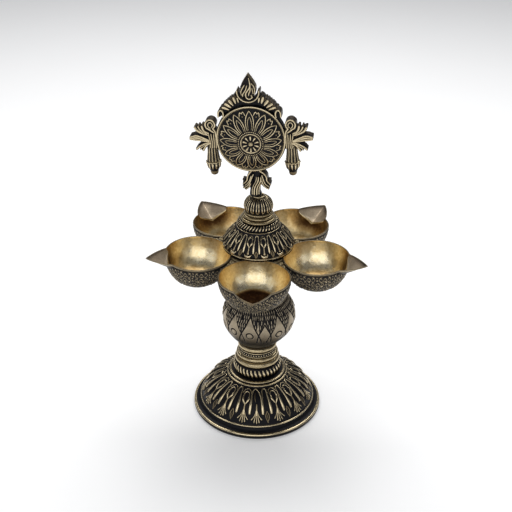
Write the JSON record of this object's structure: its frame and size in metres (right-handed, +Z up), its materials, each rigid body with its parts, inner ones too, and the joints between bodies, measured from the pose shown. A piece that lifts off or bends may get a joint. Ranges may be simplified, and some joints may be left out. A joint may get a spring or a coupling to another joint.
{
  "type": "standing oil lamp",
  "caption": "Brass standing oil lamp: domed foot, lotus-bulb stem, ring of spouted wick bowls, petal skirt and a wheel finial with flames and tassels.",
  "frame": {"origin": "on the surface that the lamp stands on, under the middle of the bounding box; the lamp's turning axis is 8.86 mm behind it, because one spout points straight to the front", "axes": "+Z up along the stem, -Y to the front, where one bowl's spout points, +X to the right"},
  "size_m": [0.1766, 0.1678, 0.3044],
  "materials": {
    "antique_brass": "cast brass with a black patina in the recesses and rubbed pale highlights",
    "bowl_brass": "spun brass, polished and softly hammered inside, dark chased relief outside",
    "turned_brass": "turned brass with a dulled antique polish"
  },
  "bodies": {
    "foot": {"base_foot": "antique_brass"},
    "seat_ring": {"lower_rope_ring": "antique_brass"},
    "stem": {"stem_collar": "turned_brass", "bead_band": "antique_brass", "bulb_seat_ring": "turned_brass", "stem_bulb": "antique_brass", "stem_neck": "turned_brass", "foot_stud": "turned_brass", "centre_rod": "turned_brass"},
    "bowl_ring": {"bowl_hub": "turned_brass", "bowl_front": "bowl_brass", "bowl_right": "bowl_brass", "bowl_rear_right": "bowl_brass", "bowl_rear_left": "bowl_brass", "bowl_left": "bowl_brass"},
    "clamp": {"clamp_washer": "turned_brass"},
    "top": {"skirt_dome": "antique_brass", "upper_rope_ring": "antique_brass", "neck_ring_large": "turned_brass", "neck_ring_middle": "turned_brass", "neck_ring_small": "turned_brass", "ribbed_knob": "antique_brass"},
    "collar": {"finial_collar": "turned_brass"},
    "finial": {"finial_stud": "turned_brass", "finial_neck": "antique_brass", "chakra_disc": "antique_brass", "crown_flame": "antique_brass", "crown_crescent": "antique_brass", "crown_leaves_left": "antique_brass", "crown_leaves_right": "antique_brass", "side_flame_left": "antique_brass", "side_flame_right": "antique_brass", "tassel_left": "antique_brass", "tassel_right": "antique_brass"}
  },
  "joints": [
    {"name": "stem_unscrew", "type": "hinge", "parent": "foot", "child": "seat_ring", "pos_m": [0, 0.00886, 0.036], "axis": [0, 0, 1], "range_deg": [0, 2160]},
    {"name": "stem_lift", "type": "slide", "parent": "seat_ring", "child": "stem", "axis": [0, 0, 1], "range_m": [0, 0.00953]},
    {"name": "bowls_turn", "type": "hinge", "parent": "stem", "child": "bowl_ring", "pos_m": [0, 0.00886, 0.1402], "axis": [0, 0, 1], "continuous": true},
    {"name": "top_unscrew", "type": "hinge", "parent": "stem", "child": "clamp", "pos_m": [0, 0.00886, 0.1566], "axis": [0, 0, 1], "range_deg": [0, 2160]},
    {"name": "top_lift", "type": "slide", "parent": "clamp", "child": "top", "axis": [0, 0, 1], "range_m": [0, 0.00847]},
    {"name": "finial_unscrew", "type": "hinge", "parent": "top", "child": "collar", "pos_m": [0, 0.00886, 0.202], "axis": [0, 0, 1], "range_deg": [0, 2160]},
    {"name": "finial_lift", "type": "slide", "parent": "collar", "child": "finial", "axis": [0, 0, 1], "range_m": [0, 0.00762]}
  ],
  "couplings": [
    {"joint": "stem_lift", "follows": "stem_unscrew", "m_per_rad": 0.00025265},
    {"joint": "top_lift", "follows": "top_unscrew", "m_per_rad": 0.00022458},
    {"joint": "finial_lift", "follows": "finial_unscrew", "m_per_rad": 0.00020212}
  ]
}
